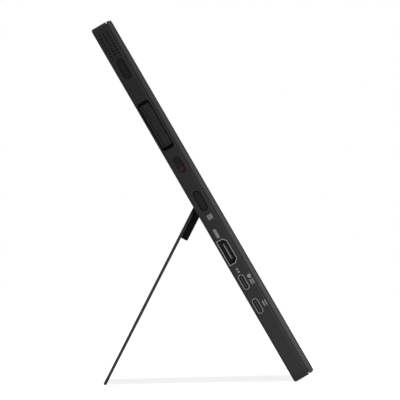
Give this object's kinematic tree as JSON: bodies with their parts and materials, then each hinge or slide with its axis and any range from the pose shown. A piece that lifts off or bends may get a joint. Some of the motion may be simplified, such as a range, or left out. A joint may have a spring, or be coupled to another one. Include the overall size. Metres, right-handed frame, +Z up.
{
  "type": "portable monitor",
  "caption": "Slim portable monitor leaning back on a hinged fold-out rear stand, with side sockets, push buttons, a rocker key, a slide switch and speaker holes.",
  "frame": {"origin": "middle of the overall bounding box, on the floor that the monitor stands on", "axes": "+X to the right of someone facing the screen, +Y away from them (the screen faces -Y and up), +Z up"},
  "size_m": [0.358, 0.1158, 0.1975],
  "materials": {
    "housing": "fine matte anodised dark grey",
    "bezel": "satin dark grey",
    "cover_glass": "polished, black border",
    "display_glass": "polished",
    "film": "white diffuse",
    "steel": "plain",
    "socket": "drawn, nickel plated",
    "insulator": "black moulded",
    "board": "green solder mask",
    "component": "black moulded",
    "flex": "amber film",
    "lead": "black insulation",
    "button": "satin black",
    "red": "red",
    "stand": "fine matte anodised dark grey",
    "hinge_block": "black moulded",
    "rubber": "black"
  },
  "bodies": {
    "monitor": {"rear_housing": "housing", "front_bezel": "bezel", "cover_glass": "cover_glass", "lcd_cell": "display_glass", "diffuser_film": "film", "light_guide": "film", "reflector_sheet": "film", "panel_tray": "steel", "case_screws": "steel", "board_screws": "steel", "hinge_screws": "steel", "shield_can": "steel", "hinge_ear_left_outer": "steel", "hinge_ear_left_inner": "steel", "hinge_ear_right_outer": "steel", "hinge_ear_right_inner": "steel", "hinge_pin_left": "steel", "hinge_pin_right": "steel", "friction_washers": "steel", "hinge_lock_nuts": "steel", "rocker_pin": "steel", "hdmi_shell": "socket", "usb_upper_shell": "socket", "usb_lower_shell": "socket", "hdmi_tongue": "insulator", "usb_upper_tongue": "insulator", "usb_lower_tongue": "insulator", "panel_driver_board": "board", "main_board": "board", "control_board": "board", "led_bar": "board", "scaler_chip": "component", "top_switch": "component", "menu_switch": "component", "rocker_switches": "component", "slide_switch": "component", "rocker_bracket": "component", "left_speaker_upper": "component", "left_speaker_lower": "component", "right_speaker": "component", "display_ribbon": "flex", "control_ribbon": "flex", "left_speaker_lead": "lead", "right_speaker_lead": "lead"},
    "stand": {"stand_plate": "stand", "stand_foot": "rubber", "stand_screws": "steel", "hinge_block_left": "hinge_block", "hinge_block_right": "hinge_block"},
    "top_button_group": {"top_button": "button", "top_switch_plunger": "button"},
    "menu_button_group": {"menu_button": "button", "menu_switch_plunger": "button"},
    "rocker": {"rocker_key": "button"},
    "slider": {"slide_knob": "button", "slide_red_mark": "red"}
  },
  "joints": [
    {"name": "stand_hinge", "type": "hinge", "parent": "monitor", "child": "stand", "pos_m": [0, 0.00339, 0.0956], "axis": [1, 0, 0], "range_deg": [-57.06, 42.94]},
    {"name": "top_button_press", "type": "slide", "parent": "monitor", "child": "top_button_group", "axis": [1, 0, 0], "range_m": [0, 0.0005], "stiffness_N_per_m": 400},
    {"name": "menu_button_press", "type": "slide", "parent": "monitor", "child": "menu_button_group", "axis": [1, 0, 0], "range_m": [0, 0.0005], "stiffness_N_per_m": 400},
    {"name": "rocker_tilt", "type": "hinge", "parent": "monitor", "child": "rocker", "pos_m": [-0.1762, 0.02441, 0.14019], "axis": [0, 0.8759, -0.4824], "range_deg": [-3, 3], "stiffness_Nm_per_rad": 0.02},
    {"name": "power_slide", "type": "slide", "parent": "monitor", "child": "slider", "axis": [0, -0.4824, -0.8759], "range_m": [0, 0.0031]}
  ]
}
